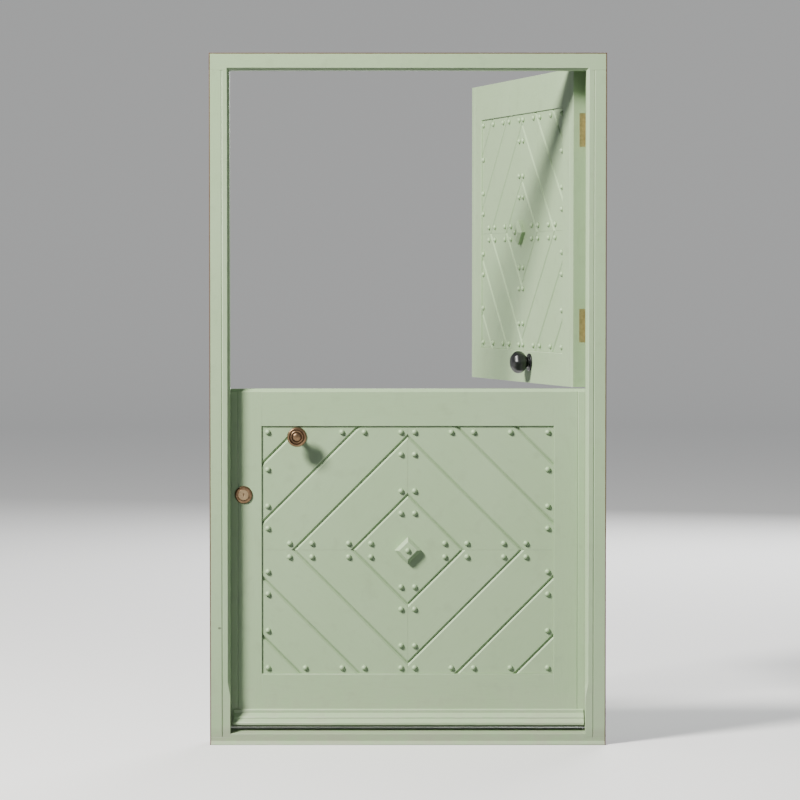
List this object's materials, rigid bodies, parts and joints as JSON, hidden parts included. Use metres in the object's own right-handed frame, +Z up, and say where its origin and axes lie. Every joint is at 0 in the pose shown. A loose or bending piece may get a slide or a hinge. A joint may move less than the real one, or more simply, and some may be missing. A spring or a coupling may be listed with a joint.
{
  "type": "dutch stable door",
  "caption": "Framed stable door in two leaves: the lower shut, the upper swung inwards. Diamond boarding, domed studs, weatherboard, turned pull and eight-sided knob.",
  "frame": {"origin": "middle of the sill's underside, at half the depth of the frame", "axes": "+X to the right as seen from outside (towards the hinges), +Y inwards through the doorway, +Z up"},
  "size_m": [1.204, 1.1728, 2.1],
  "materials": {
    "painted_timber": "satin sage green paint on timber",
    "rebate_seal": "matt extruded rubber",
    "hinge_brass": "dull brass",
    "aged_bronze": "aged brown bronze",
    "black_iron": "black, slight sheen",
    "steel": "plain zinc plated steel",
    "black_lacquer": "black lacquer on cast metal"
  },
  "bodies": {
    "frame": {"sill": "painted_timber", "lock_jamb": "painted_timber", "hinge_jamb": "painted_timber", "frame_head": "painted_timber", "lock_side_seal": "rebate_seal", "hinge_side_seal": "rebate_seal", "head_seal": "rebate_seal", "jamb_hinge_plates": "hinge_brass", "latch_keep": "black_lacquer"},
    "bottom_leaf": {"bottom_leaf_lock_stile": "painted_timber", "bottom_leaf_hinge_stile": "painted_timber", "bottom_leaf_top_rail": "painted_timber", "bottom_leaf_bottom_rail": "painted_timber", "bottom_leaf_backing": "painted_timber", "bottom_leaf_boards_ring_1": "painted_timber", "bottom_leaf_boards_ring_2": "painted_timber", "bottom_leaf_boards_ring_3": "painted_timber", "bottom_leaf_boards_ring_4": "painted_timber", "bottom_leaf_boards_ring_5": "painted_timber", "bottom_leaf_studs": "painted_timber", "bottom_leaf_boss": "painted_timber", "bottom_leaf_hinge_plates": "hinge_brass", "weatherboard": "painted_timber", "pull_knob": "aged_bronze", "pull_knob_bolt": "steel", "cylinder_rose": "aged_bronze", "lock_cylinder": "aged_bronze", "latch_case": "black_lacquer", "stable_bolt_keep": "black_lacquer"},
    "top_leaf": {"top_leaf_lock_stile": "painted_timber", "top_leaf_hinge_stile": "painted_timber", "top_leaf_top_rail": "painted_timber", "top_leaf_bottom_rail": "painted_timber", "top_leaf_backing": "painted_timber", "top_leaf_boards_ring_1": "painted_timber", "top_leaf_boards_ring_2": "painted_timber", "top_leaf_boards_ring_3": "painted_timber", "top_leaf_boards_ring_4": "painted_timber", "top_leaf_boards_ring_5": "painted_timber", "top_leaf_studs": "painted_timber", "top_leaf_boss": "painted_timber", "top_leaf_hinge_plates": "hinge_brass", "top_leaf_knob": "black_iron", "top_leaf_knob_bolt": "steel", "stable_bolt_plate": "black_lacquer"},
    "latch_turn": {"latch_turn": "black_lacquer"},
    "latch_bolt": {"latch_bolt": "steel"},
    "stable_bolt": {"stable_bolt": "steel"}
  },
  "joints": [
    {"name": "bottom_leaf_swing", "type": "hinge", "parent": "frame", "child": "bottom_leaf", "pos_m": [0.5535, 0.0525, 0], "axis": [0, 0, -1], "range_deg": [0, 105]},
    {"name": "top_leaf_swing", "type": "hinge", "parent": "frame", "child": "top_leaf", "pos_m": [0.5535, 0.0525, 0], "axis": [0, 0, -1], "range_deg": [-75, 30]},
    {"name": "latch_turning", "type": "hinge", "parent": "bottom_leaf", "child": "latch_turn", "pos_m": [-0.474, 0.0745, 0.759], "axis": [0, 1, 0], "range_deg": [0, 90]},
    {"name": "latch_bolt_slide", "type": "slide", "parent": "bottom_leaf", "child": "latch_bolt", "axis": [-1, 0, 0], "range_m": [0, 0.015]},
    {"name": "stable_bolt_slide", "type": "slide", "parent": "top_leaf", "child": "stable_bolt", "axis": [0, 0, -1], "range_m": [0, 0.038]}
  ],
  "couplings": [
    {"joint": "latch_turning", "follows": "latch_bolt_slide", "rad_per_m": 104.72}
  ]
}
